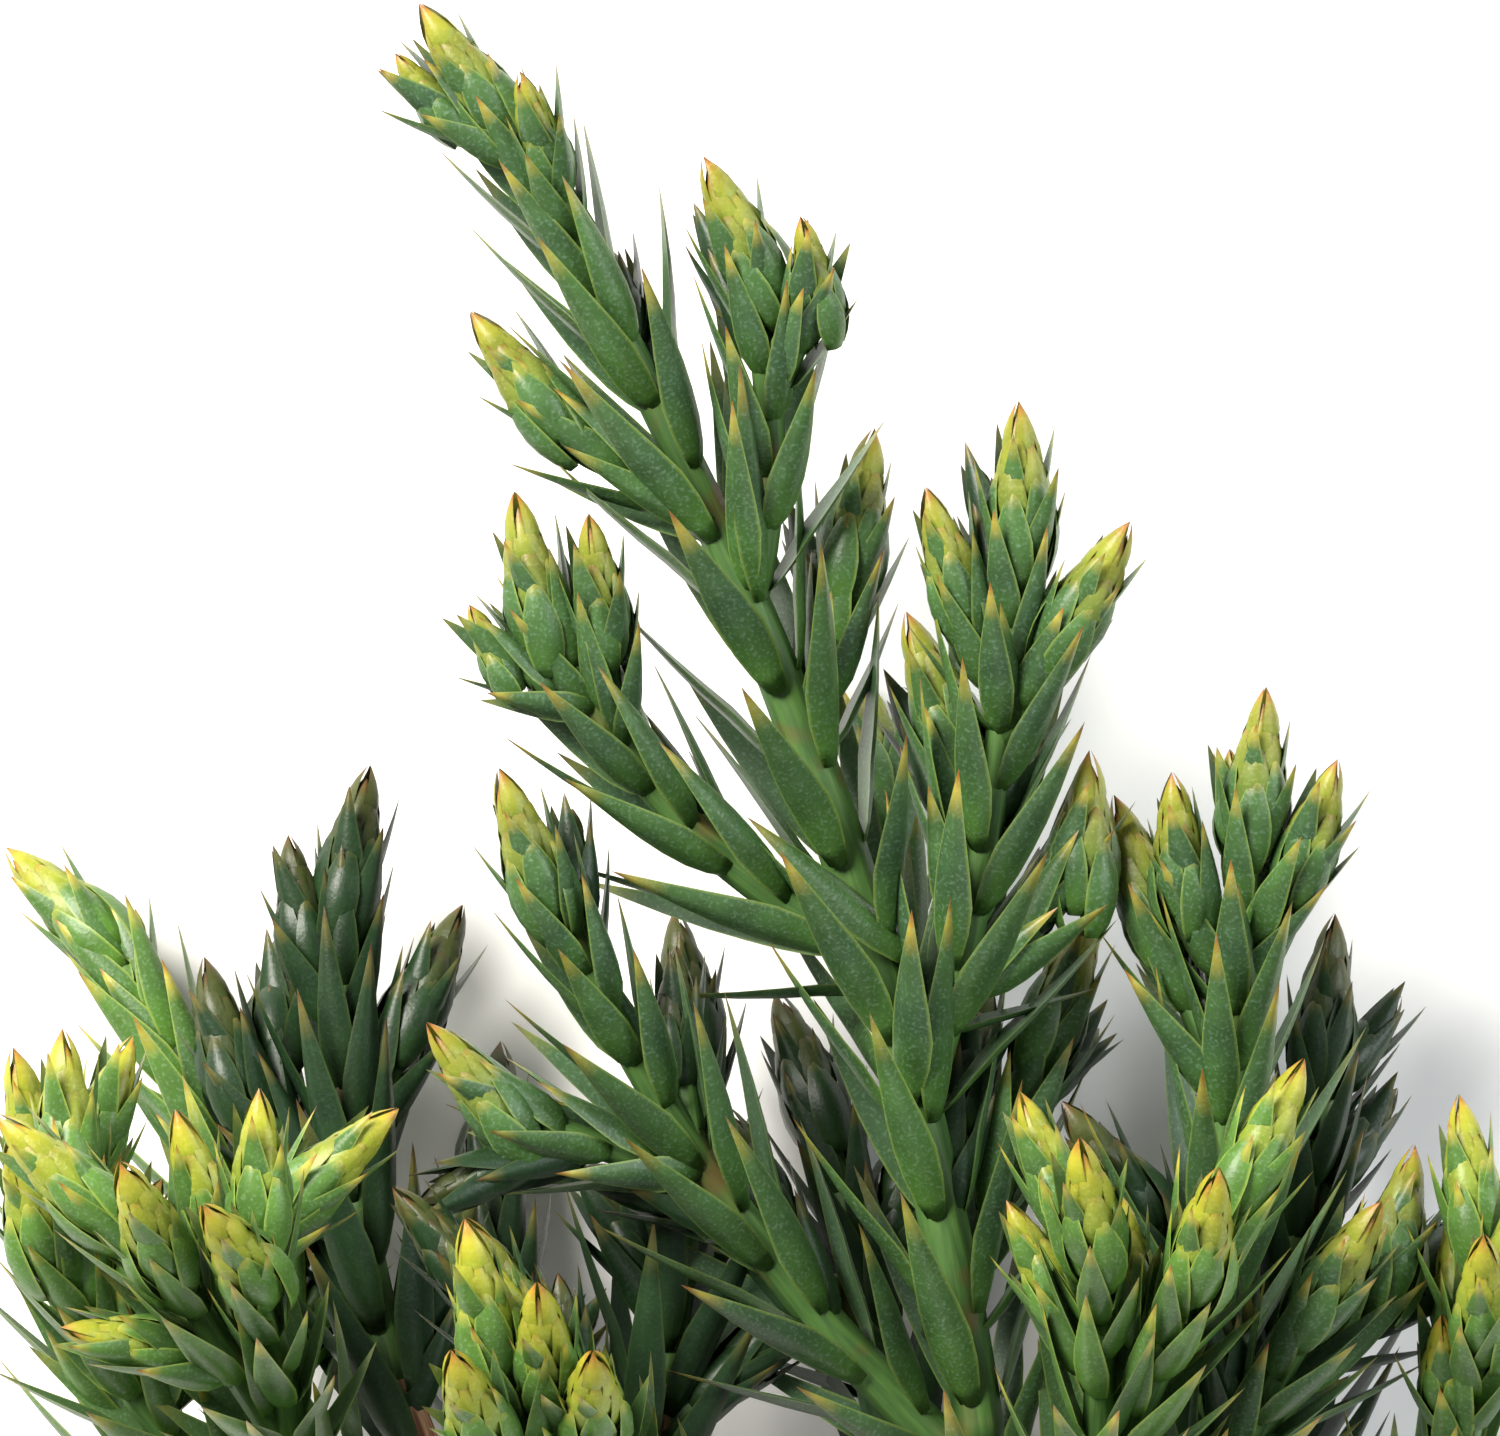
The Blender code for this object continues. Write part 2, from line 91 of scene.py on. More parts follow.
# Each spray's shoots, the main one first: what it rises from, how far along that, length in mm,
# heading (degrees right of +Y), rise (degrees towards +Z) and how far it turns left on its way
sprays = {
    "leader_spray": {
        "leader": ("stem", 0.37, 72.0, -19.4, 9, 30),
        "leader_tip_left": ("leader", 0.9, 6.5, -50, 8, -24),
        "leader_tip_right": ("leader", 0.84, 8.0, -17, 22, 0),
        "upper_left": ("leader", 0.67, 13.0, -49, 4, -22),
        "upright": ("leader", 0.62, 18.5, -6, 14, 40),
        "upright_bud": ("upright", 0.45, 8.0, 10, 23, 46),
        "behind_right": ("leader", 0.52, 14.0, 10, -4, -2),
        "left": ("leader", 0.41, 24.0, -38, 11, -54),
        "left_low": ("left", 0.63, 6.5, -51, 8, -46),
        "left_bud": ("left", 0.57, 9.5, -6, 20, 4),
        "right": ("leader", 0.32, 29.5, 8, 14, 20),
        "right_inner": ("right", 0.56, 10.0, -19, 13, -2),
        "right_outer": ("right", 0.52, 11.0, 30, 20, 0),
        "right_behind": ("right", 0.24, 13.5, -10, 3, 22),
        "right_low": ("right", 0.14, 12.0, 29, 2, 54),
        "behind_middle": ("leader", 0.33, 21.0, -6, -38, 0),
        "behind_low": ("leader", 0.19, 18.0, 18, -9, -10),
    },
    "lower_left_spray": {
        "lower_left": ("leader", 0.1, 36.5, -34, 15, -28),
        "lower_left_side": ("lower_left", 0.49, 13.0, -62, 14, -46),
    },
    "right_spray": {
        "spire": ("stem", 0.24, 42.5, 4.8, 13, 0),
        "spire_bud": ("spire", 0.82, 5.0, -9, 3, -10),
        "spire_right": ("spire", 0.73, 9.5, 25, 17, 16),
        "spire_left": ("spire", 0.69, 10.0, -16, 13, -20),
        "spire_low": ("spire", 0.6, 13.0, -21, 0, -4),
    },
    "back_right_spray": {
        "back_right": ("stem", 0.18, 33.0, 6, 1, 0),
    },
    "front_right_spray": {
        "front_right": ("stem", 0.32, 28.5, 0, 38, 20),
        "front_right_side": ("front_right", 0.35, 18.0, 19, 38, 20),
    },
    "low_right_spray": {
        "low_right": ("stem", 0.29, 25.5, 28, 27, -4),
        "low_right_back": ("low_right", 0.49, 14.5, 31, -12, 38),
    },
    "far_right_spray": {
        "far_right": ("stem", 0.08, 28.0, 14, 28, 0),
        "far_right_inner": ("far_right", 0.56, 11.5, 2, 45, 10),
        "far_right_low": ("far_right", 0.49, 8.0, -7, 36, -6),
    },
    "dark_spray": {
        "dark": ("stem", 0.77, 34.5, -8, -10, -38),
        "dark_upper": ("dark", 0.67, 9.0, -15, -8, -12),
        "dark_left": ("dark", 0.42, 14.0, -29, -10, -30),
        "dark_right": ("dark", 0.54, 11.5, 24, -15, 0),
    },
    "far_left_spray": {
        "far_left": ("stem", 0.93, 33.5, -21, -18, 54),
        "far_left_upper": ("far_left", 0.69, 6.0, -14, -20, -30),
        "far_left_low": ("far_left", 0.46, 7.0, 2, -24, 16),
    },
    "front_left_spray": {
        "front_left": ("stem", 0.88, 26.0, -34, 29, -40),
        "front_left_inner": ("front_left", 0.43, 13.5, 4, 20, 42),
    },
    "end_spray": {
        "end": ("stem", 0.99, 24.0, -18, 17, -10),
    },
    "near_left_spray": {
        "near_left": ("stem", 0.82, 29.0, -32, 43, -20),
        "near_left_side": ("near_left", 0.37, 16.5, -17, 50, 32),
    },
    "low_middle_spray": {
        "low_middle": ("stem", 0.62, 23.0, -27, 36, -4),
    },
    "near_middle_spray": {
        "near_middle": ("stem", 0.55, 26.5, -32, 49, -54),
        "near_middle_left": ("near_middle", 0.42, 16.0, -44, 52, -52),
        "near_middle_right": ("near_middle", 0.4, 14.0, -12, 58, -24),
    },
    "back_middle_spray": {
        "back_middle": ("stem", 0.68, 29.0, 6, -12, 28),
    },
    "back_centre_spray": {
        "back_centre": ("stem", 0.42, 28.5, -14, -14, 12),
    },
    "back_left_spray": {
        "back_left": ("stem", 0.73, 25.0, -4, -26, -14),
    },
}


def toLinear(hexColour):
    parts = [int(hexColour[i:i + 2], 16) / 255 for i in (1, 3, 5)]
    return [c / 12.92 if c <= 0.04045 else ((c + 0.055) / 1.055) ** 2.4 for c in parts] + [1.0]


def between(pair, share):
    return pair[0] + (pair[1] - pair[0]) * min(max(share, 0.0), 1.0)


def grows(rule, below):  # a size at the tip, what each mm below it adds, and the most
    return min(rule[0] + rule[1] * below, rule[2])


def outwards(rule, whorl):  # a size of a bud's innermost whorl, and what each next one adds
    return rule[0] + rule[1] * whorl


# A stem or shoot follows one plain curve, given by its foot, its control point and its tip
axisSteps = 40  # straight steps that its length is measured in


def makeAxis(foot, control, tip):
    axis = {"foot": foot, "control": control, "tip": tip}
    steps = [pointAt(axis, i / axisSteps) for i in range(axisSteps + 1)]
    axis["length"] = sum((b - a).length for a, b in zip(steps, steps[1:]))
    return axis


def pointAt(axis, t):
    return axis["foot"] * (1 - t) ** 2 + axis["control"] * 2 * t * (1 - t) + axis["tip"] * t**2


def wayAt(axis, t):
    up = (axis["control"] - axis["foot"]) * (1 - t) + (axis["tip"] - axis["control"]) * t
    return up.normalized()


def shootAxis(parent, at, length, heading, rise, bend):
    turn, climb = math.radians(heading), math.radians(rise)
    flat = length * math.cos(climb)
    chord = Vector((math.sin(turn) * flat, math.cos(turn) * flat, length * math.sin(climb)))
    aside = Vector((math.cos(turn), -math.sin(turn), 0.0))
    foot = pointAt(parent, at)
    control = foot + chord / 2 + aside * (flat / 2 * math.tan(math.radians(bend) / 2))
    return makeAxis(foot, control, foot + chord)


def outwardAt(way, turn):  # 0 faces the viewer, and the turn goes to the shoot's left
    front = (Vector((0, 0, 1)) - way * way.z).normalized()
    return front * math.cos(turn) + front.cross(way) * math.sin(turn)


def twigRadius(below):
    return grows(twigSizes["radius"], below)


print("axes of the stem and the shoots")
stemMiddle = (stemSizes["cut"] + stemSizes["end"]) / 2
axes = {"stem": makeAxis(stemSizes["cut"], stemMiddle + stemSizes["arch"], stemSizes["end"])}
for shoots in sprays.values():
    for shootName, (parent, *sizes) in shoots.items():
        axes[shootName] = shootAxis(axes[parent], *sizes)


# Where every stem is, so that twigs and needles keep out of the others
spotStep = 0.6


def findStems():
    spots = []
    for shootName, axis in axes.items():
        count = max(2, int(axis["length"] / spotStep))
        for i in range(count + 1):
            below = axis["length"] * (1 - i / count)
            radius = stemSizes["radius"][0] if shootName == "stem" else twigRadius(below)
            spots.append((pointAt(axis, i / count), shootName, radius))
    tree = kdtree.KDTree(len(spots))
    for i, spot in enumerate(spots):
        tree.insert(spot[0], i)
    tree.balance()
    return {"tree": tree, "spots": spots}


def isClear(points, room, stems, ownName):
    widest = stemSizes["radius"][0]
    for point in points:
        for _, i, distance in stems["tree"].find_range(point, room + widest):
            _, owner, radius = stems["spots"][i]
            if owner != ownName and distance < room + radius:
                return False
    return True


def isInside(points, margin):  # keeps new growth within the reach of the solids
    low, high = (corner / mm for corner in cadBox)
    for point in points:
        spot = point + placing["shift"]
        if any(spot[i] < low[i] + margin or spot[i] > high[i] - margin for i in range(3)):
            return False
    return True


# Twigs on the side that the front shoots hide, by a seeded rule: many long ones near the stem,
# where y is below lowUpTo, and fewer, shorter ones above it
backTwigs = {
    "seed": 23,
    "lowUpTo": -9.0,
    "low": {"every": 4.5, "length": (7.0, 12.5), "aside": (5, 95), "room": 0.95},
    "high": {"every": 9.0, "length": (5.0, 8.0), "aside": (0, 42), "room": 1.3},
    "downTo": 0.78,  # the share of a shoot that carries them, from its tip
    "spread": 36.0,  # degrees from the shoot
    "curve": 0.6,
    "leastHeight": 1.6,
    "margin": 0.5,  # how far inside the solids' box they end
    "lookAt": (0.4, 0.6, 0.8, 1.0),  # shares of a twig that have to be clear of the others
}


def growBackTwigs():
    chance = random.Random(backTwigs["seed"])
    lean = math.radians(backTwigs["spread"])
    stems, taken = findStems(), []
    for shoots in sprays.values():
        for shootName in list(shoots):
            axis = axes[shootName]
            below = backTwigs["high"]["every"]
            while below < axis["length"] * backTwigs["downTo"]:
                t = 1 - below / axis["length"]
                foot, way = pointAt(axis, t), wayAt(axis, t)
                low = foot.y + placing["shift"].y < backTwigs["lowUpTo"]
                rule = backTwigs["low" if low else "high"]
                side = chance.choice((-1, 1)) * chance.uniform(*rule["aside"])
                outward = outwardAt(way, math.pi + math.radians(side))
                long = chance.uniform(*rule["length"])
                tip = foot + (way * math.cos(lean) + outward * math.sin(lean)) * long
                line = [foot.lerp(tip, share) for share in backTwigs["lookAt"]]
                free = all((a - b).length > 2 * rule["room"] for a in line for b in taken)
                fits = tip.z > backTwigs["leastHeight"] and isInside(line, backTwigs["margin"])
                if free and fits and isClear(line, rule["room"], stems, shootName):
                    found = shootName + "_twig_" + str(round(below))
                    shoots[found] = (shootName,)
                    control = (foot + tip) / 2 + way * backTwigs["curve"]
                    axes[found] = makeAxis(foot, control, tip)
                    taken += line
                below += rule["every"]


growBackTwigs()
print("shoots and twigs:", sum(len(shoots) for shoots in sprays.values()))
scratchMesh = bpy.data.meshes.new("scratch")


# A closed skin that is drawn out from a circle, ring by ring
def drawSkin(ringCount, sides, place, pointed):
    shape = bmesh.new()
    uvLayer = shape.loops.layers.uv.new("blade")
    shape.verts.layers.float.new("tone")
    ring = list(bmesh.ops.create_circle(shape, segments=sides, radius=1.0)["verts"])
    edges = list(shape.edges)
    spots = {}
    for j, vert in enumerate(ring):
        vert.co = place(0, j)
        spots[vert] = (0, j)
    bmesh.ops.contextual_create(shape, geom=ring)
    for k in range(1, ringCount):
        grown = bmesh.ops.extrude_edge_only(shape, edges=edges)["geom"]
        fresh = [g for g in grown if isinstance(g, bmesh.types.BMVert)]
        edges = [g for g in grown if isinstance(g, bmesh.types.BMEdge)]
        edges = [e for e in edges if all(v not in spots for v in e.verts)]
        order = {}
        for vert in fresh:
            others = (edge.other_vert(vert) for edge in vert.link_edges)
            order[vert] = (k, next(spots[other][1] for other in others if other in spots))
        for vert, (k, j) in order.items():
            vert.co = place(k, j)
        spots.update(order)
    last = [v for v, spot in spots.items() if spot[0] == ringCount - 1]
    last.sort(key=lambda v: spots[v][1])
    if not pointed:
        bmesh.ops.contextual_create(shape, geom=last)
    for face in shape.faces:  # u runs along, v once round
        wraps = {spots[v][1] for v in face.verts} >= {0, sides - 1} and len(face.verts) == 4
        for loop in face.loops:
            k, j = spots[loop.vert]
            loop[uvLayer].uv = (k / (ringCount - 1), (sides if wraps and j == 0 else j) / sides)
    if pointed:
        bmesh.ops.pointmerge(shape, verts=last, merge_co=place(ringCount - 1, 0))
    bmesh.ops.recalc_face_normals(shape, faces=shape.faces)
    for face in shape.faces:
        face.smooth = True
    return shape


# A stretch of a stem or shoot. The sizes give its rings and sides, and shapeAt its surface
def addTube(target, axis, start, end, radiusAt, shapeAt, sizes, pointed, capTint=None):
    sides = sizes["sides"]
    long = axis["length"] * (end - start)
    rings = max(3, int(long / sizes["ringStep"]) + 1)

    def place(k, j):
        t = start + (end - start) * k / (rings - 1)
        turn = 2 * math.pi * j / sides
        radius = 0.0 if pointed and k == rings - 1 else radiusAt(t)
        outward = outwardAt(wayAt(axis, t), turn)
        radius = radius * shapeAt(t * axis["length"], turn, j)
        return (pointAt(axis, t) + outward * radius + placing["shift"]) * mm

    tube = drawSkin(rings, sides, place, pointed)
    uvLayer = tube.loops.layers.uv["blade"]
    for face in tube.faces:
        for loop in face.loops:  # u in mm along, v in turns
            loop[uvLayer].uv = (loop[uvLayer].uv.x * long, loop[uvLayer].uv.y)
        if capTint is not None and len(face.verts) == sides:
            face.material_index = capTint
            face.smooth = False
            for edge in face.edges:
                edge.smooth = False
    tube.to_mesh(scratchMesh)
    tube.free()
    target.from_mesh(scratchMesh)


# A juniper leaf: rounded outside, hollowed inside, with a margin on each side
leafSection = ((-0.5, -0.04), (-0.28, 0.1), (0.0, 0.2), (0.28, 0.1), (0.5, -0.04), (0.0, 0.03))
leafTurns = (0.0, 0.25, 0.5, 0.75, 1.0, 1.5)  # v of each line of the section, 0 to 1 outside
innerEdge = 2.0  # v where the inside meets the first line again
nearly = 1e-4  # as good as the same place
needleProfile = (  # along the leaf, and how wide it is there
    (0.0, 0.42), (0.09, 0.7), (0.2, 0.92), (0.33, 1.0), (0.48, 0.87), (0.65, 0.62), (0.81, 0.35),
    (0.93, 0.14), (1.0, 0.0),
)
scaleProfile = (
    (0.0, 0.55), (0.14, 0.82), (0.3, 0.98), (0.46, 1.0), (0.62, 0.83), (0.78, 0.52), (0.91, 0.2),
    (1.0, 0.0),
)


def widthAt(profile, x):
    for (x0, w0), (x1, w1) in zip(profile, profile[1:]):
        if x <= x1 + nearly:
            return w0 + (w1 - w0) * (x - x0) / (x1 - x0)
    return 0.0


def leafShape(profile):
    def place(k, j):
        x, wide = profile[k]
        return Vector((x, leafSection[j][0] * wide, leafSection[j][1] * wide))

    lines = len(leafSection)
    shape = drawSkin(len(profile), lines, place, True)
    uvLayer = shape.loops.layers.uv["blade"]
    for face in shape.faces:
        turns = [round(loop[uvLayer].uv.y * lines) for loop in face.loops]
        inner = max(turns) >= lines - 1
        for loop, turn in zip(face.loops, turns):
            turn = turn % lines
            value = innerEdge if inner and turn == 0 else leafTurns[turn]
            loop[uvLayer].uv = (loop.vert.co.x, value)
    for edge in shape.edges:  # the margins stay crisp
        if all(abs(abs(v.co.y) - 0.5 * widthAt(profile, v.co.x)) < nearly for v in edge.verts):
            edge.smooth = abs(edge.verts[0].co.x - edge.verts[1].co.x) < nearly
    return shape


needleShape = leafShape(needleProfile)
scaleShape = leafShape(scaleProfile)


def addLeaf(target, template, foot, way, outward, length, width, tone, tint,
            bend=0.0, bulge=0.0, clasp=0.0):
    leaf = template.copy()
    toneLayer = leaf.verts.layers.float["tone"]
    for vert in leaf.verts:
        x, y, z = vert.co
        lift = bulge * 4 * x * (1 - x) - bend * x * x
        if clasp:  # the foot runs down the stem and then sinks in
            dive = max(0.0, 1 - x / needleSizes["rootShare"]) ** 2
            hold = max(0.0, needleSizes["claspShare"] - x) ** 2
            lift += clasp * hold - dive * needleSizes["rootDepth"] / length
        vert.co = (x * length, y * width, z * width + lift * length)
        vert[toneLayer] = tone
    out = (outward - way * outward.dot(way)).normalized()
    turned = Matrix((way, out.cross(way), out)).transposed().to_4x4()
    spot = Matrix.Translation((foot + placing["shift"]) * mm) @ turned @ Matrix.Scale(mm, 4)
    bmesh.ops.transform(leaf, matrix=spot, verts=leaf.verts)
    for face in leaf.faces:
        face.material_index = tint
    leaf.to_mesh(scratchMesh)
    leaf.free()
    target.from_mesh(scratchMesh)


# Needles stand in whorls of three, each whorl turned half way past the one below
needleSizes = {
    "inWhorl": 3,
    "frontTurn": 22.0,  # degrees, from the first needle to the viewer's side
    "firstBelow": 0.88,  # of the bud's length
    "leaderSpacing": (1.8, 3.9),
    "leaderRange": (5.0, 30.0),  # the first spacing down to here, the second this much lower
    "sideSpacing": (1.25, 0.07, 3.4),
    "length": (2.6, 0.29, 8.6),
    "width": (1.25, 0.028, 1.9),
    "spread": (12.0, 0.85, 32.0),  # degrees from the shoot
    "bend": 0.07,
    "footOut": 0.62,  # of the stem's radius
    "footBack": 0.24,  # how far down the stem the foot starts, of the needle's length
    "withFoot": 1.2,  # the whole length, foot and all
    "claspShare": 0.34,  # how much of a needle runs down the stem at its foot
    "rootShare": 0.24,  # how much of it sinks in, and how deep
    "rootDepth": 0.62,
    "room": 0.32,  # between needles of two shoots, and then from other stems
    "stemRoom": 0.3,
    "lookAt": (0.45, 0.7, 1.0),  # shares of a needle that need that room
}

# How far single needles stray from those sizes: factors, degrees of spread and turns in radians
needleChances = {
    "turn": (-0.14, 0.14),
    "length": (0.93, 1.07),
    "width": (0.95, 1.05),
    "spread": (-5, 6),
    "aside": (-0.06, 0.06),
    "bend": (0.5, 1.5),
}


def spacingAt(shootName, below):
    if shootName != "leader":
        return grows(needleSizes["sideSpacing"], below)
    start, reach = needleSizes["leaderRange"]
    share = min(max((below - start) / reach, 0.0), 1.0)
    return between(needleSizes["leaderSpacing"], share * share * (3 - 2 * share))


takenSpots = {}  # a coarse grid of where needles are already, by shoot


def cellOf(point):
    return tuple(math.floor(c) for c in point)


def crosses(shootName, points):
    for point in points:
        x, y, z = cellOf(point)
        for i, j, k in product((-1, 0, 1), repeat=3):
            for other, owner in takenSpots.get((x + i, y + j, z + k), ()):
                if owner != shootName and (other - point).length < needleSizes["room"]:
                    return True
    return False


def growNeedles(target, shootName, start, budLength, tint, stems):
    axis, chance = axes[shootName], random.Random(shootName)
    count, vary = needleSizes["inWhorl"], needleChances
    turn = math.radians(needleSizes["frontTurn"])
    below = budLength * needleSizes["firstBelow"]
    while below < axis["length"] * (1 - start):
        t = 1 - below / axis["length"]
        middle, way = pointAt(axis, t), wayAt(axis, t)
        for i in range(count):
            outward = outwardAt(way, turn + 2 * math.pi * i / count + chance.uniform(*vary["turn"]))
            length = grows(needleSizes["length"], below) * chance.uniform(*vary["length"])
            width = grows(needleSizes["width"], below) * chance.uniform(*vary["width"])
            spread = grows(needleSizes["spread"], below) + chance.uniform(*vary["spread"])
            lean = math.radians(spread)
            aside = way.cross(outward) * chance.uniform(*vary["aside"])
            needleWay = (way * math.cos(lean) + outward * math.sin(lean) + aside).normalized()
            out = twigRadius(below) * needleSizes["footOut"]
            foot = middle + outward * out - way * (needleSizes["footBack"] * length)
            clasp = math.tan(lean) / (2 * needleSizes["claspShare"])
            length = length * needleSizes["withFoot"]
            bend = needleSizes["bend"] * chance.uniform(*vary["bend"])
            tone = chance.random()
            line = [foot + needleWay * (length * share) for share in needleSizes["lookAt"]]
            if not isInside(line, 0.0) or crosses(shootName, line):
                continue
            if not isClear(line, needleSizes["stemRoom"], stems, shootName):
                continue
            for point in line:
                takenSpots.setdefault(cellOf(point), []).append((point, shootName))
            addLeaf(target, needleShape, foot, needleWay, outward, length, width, tone, tint,
                    bend=bend, clasp=clasp)
        turn += math.pi / count
        below += spacingAt(shootName, below)


# A bud's closed scales, whorl by whorl. A pair that outwards() reads is the innermost whorl's
# size and what each next one adds
budSizes = {
    "whorls": 6,
    "inWhorl": 3,
    "smallShoot": 11.0,  # shorter shoots have smaller buds, down to the share below
    "smallest": 0.6,
    "length": 3.7,
    "lengthShare": (0.86, 0.07),
    "width": 1.4,
    "widthShare": (0.8, 0.07),
    "leastWide": 0.7,
    "step": 0.62,
    "reach": (1.14, 2.4),  # how far the bud covers its shoot, in scale lengths and in steps
    "pointOut": (0.04, 0.19),
    "footOut": (0.3, 0.08),
    "bulge": 0.105,
    "tone": 0.17,  # greener towards the foot
    "leafLikeFrom": 4,  # from this whorl on the scales are as green as needles
}

# How far single scales stray from those sizes, and how far the first whorl is turned
budChances = {
    "start": (0, 2),
    "turn": (-0.12, 0.12),
    "below": (0, 0.15),
    "bulge": (0.85, 1.1),
    "tone": (-0.04, 0.12),
}
# The last tint is painted shade: a darker copy of each leaf and bud look, for parts that lie in
# shadow
tintNames = ("blue", "fresh", "painted_shade")


def budShare(axis):
    return max(min(axis["length"] / budSizes["smallShoot"], 1.0), budSizes["smallest"])


def growBud(target, shootName, share, tint):
    axis, chance = axes[shootName], random.Random("bud " + shootName)
    count, vary = budSizes["inWhorl"], budChances
    way, tip = wayAt(axis, 1), axis["tip"]
    turn = chance.uniform(*vary["start"])
    for k in range(budSizes["whorls"]):
        length = budSizes["length"] * outwards(budSizes["lengthShare"], k) * share
        wide = budSizes["width"] * outwards(budSizes["widthShare"], k)
        width = wide * max(share, budSizes["leastWide"])
        below = budSizes["step"] * k * share
        kind = tint if k < budSizes["leafLikeFrom"] else tint + len(tintNames)
        for i in range(count):
            outward = outwardAt(way, turn + 2 * math.pi * i / count + chance.uniform(*vary["turn"]))
            top = tip - way * (below + chance.uniform(*vary["below"]))
            point = top + outward * outwards(budSizes["pointOut"], k) * share
            out = outwards(budSizes["footOut"], k) * share
            foot = tip - way * (below + length) + outward * out
            bulge = budSizes["bulge"] * chance.uniform(*vary["bulge"])
            tone = min(budSizes["tone"] * k + chance.uniform(*vary["tone"]), 1.0)
            addLeaf(target, scaleShape, foot, (point - foot).normalized(), outward, length, width,
                    tone, kind, bulge=bulge)
        turn += math.pi / count


# Materials. Each colour is an sRGB hex value
leafLooks = {
    "blue": {"foot": "#49702a", "low": "#3a5c28", "middle": "#344f32", "high": "#3f5b34",
             "tip": "#a0913c", "point": "#8f5426", "inner": "#425a42", "margin": "#7c9242",
             "tone": "#466b2a", "wax": "#83a38a"},
    "fresh": {"foot": "#5f8a2e", "low": "#47712a", "middle": "#3f6030", "high": "#4c6e30",
              "tip": "#b0a240", "point": "#965c28", "inner": "#4d6a46", "margin": "#93a848",
              "tone": "#587f2c", "wax": "#8cab84"},
    # A darker copy of the looks above, painted shade for sprays and twigs that lie behind or under
    # the others
    "painted_shade": {"foot": "#2b441c", "low": "#1d3519", "middle": "#182e1a", "high": "#1d351b",
             "tip": "#635c2a", "point": "#5a371a", "inner": "#203326", "margin": "#394b20",
             "tone": "#20371a", "wax": "#3c5142"},
}
budLooks = {
    "blue": {"foot": "#5a7430", "low": "#6c802c", "middle": "#7e8829", "high": "#918a2a",
             "tip": "#a06c29", "point": "#80441d", "inner": "#66702a", "margin": "#5a5c22",
             "tone": "#3f6638", "wax": "#a3a75c"},
    "fresh": {"foot": "#6a862f", "low": "#7f942c", "middle": "#929a2a", "high": "#a39b2b",
              "tip": "#a8782c", "point": "#8a5120", "inner": "#77842c", "margin": "#6c7024",
              "tone": "#4c7632", "wax": "#b4b961"},
    # The same painted shade, for the buds on those sprays
    "painted_shade": {"foot": "#27391b", "low": "#2f401b", "middle": "#3b451c", "high": "#45471d",
             "tip": "#5d4520", "point": "#533018", "inner": "#30381c", "margin": "#2c3317",
             "tone": "#1b301c", "wax": "#4d5236"},
}
barkLook = {"dark": "#4a3023", "middle": "#7a4e35", "pale": "#a98461", "grey": "#8b7b6c"}
twigLook = {"green": "#38592a", "yellow": "#4e7233", "brown": "#6f4429"}
cutLook = {"wood": "#d9c39a", "ring": "#b8935f"}
floorLook = {"paint": "#f7f7f6"}

# How the skin shines, and how much of the look's tone colour a leaf may take
needleFinish = {"roughness": 0.4, "specular": 0.36, "toneShare": 0.45}
scaleFinish = {"roughness": 0.42, "specular": 0.36, "toneShare": 0.9}


def addNode(tree, kind, settings=None, links=None):
    node = tree.nodes.new(kind)
    for key, value in (settings or {}).items():
        if key == "stops":
            setStops(node.color_ramp, value)
        elif isinstance(key, int) or key in node.inputs:
            node.inputs[key].default_value = value
        else:
            setattr(node, key, value)
    for key, socket in (links or {}).items():
        tree.links.new(socket, node.inputs[key])
    return node


def setStops(ramp, stops):
    while len(ramp.elements) > 1:
        ramp.elements.remove(ramp.elements[-1])
    ramp.elements[0].position = stops[0][0]
    ramp.elements[0].color = toLinear(stops[0][1])
    for place, colour in stops[1:]:
        ramp.elements.new(place).color = toLinear(colour)


def newMaterial(name, roughness):
    material = bpy.data.materials.new(name)
    material.use_nodes = True
    shader = material.node_tree.nodes["Principled BSDF"]
    shader.inputs["Roughness"].default_value = roughness
    return material, material.node_tree, shader


# How a Mix node blends two colours: socket 0 is its factor, 6 and 7 are the colours
mixed = {"data_type": "RGBA"}
multiplied = {"data_type": "RGBA", "blend_type": "MULTIPLY", 0: 1.0}


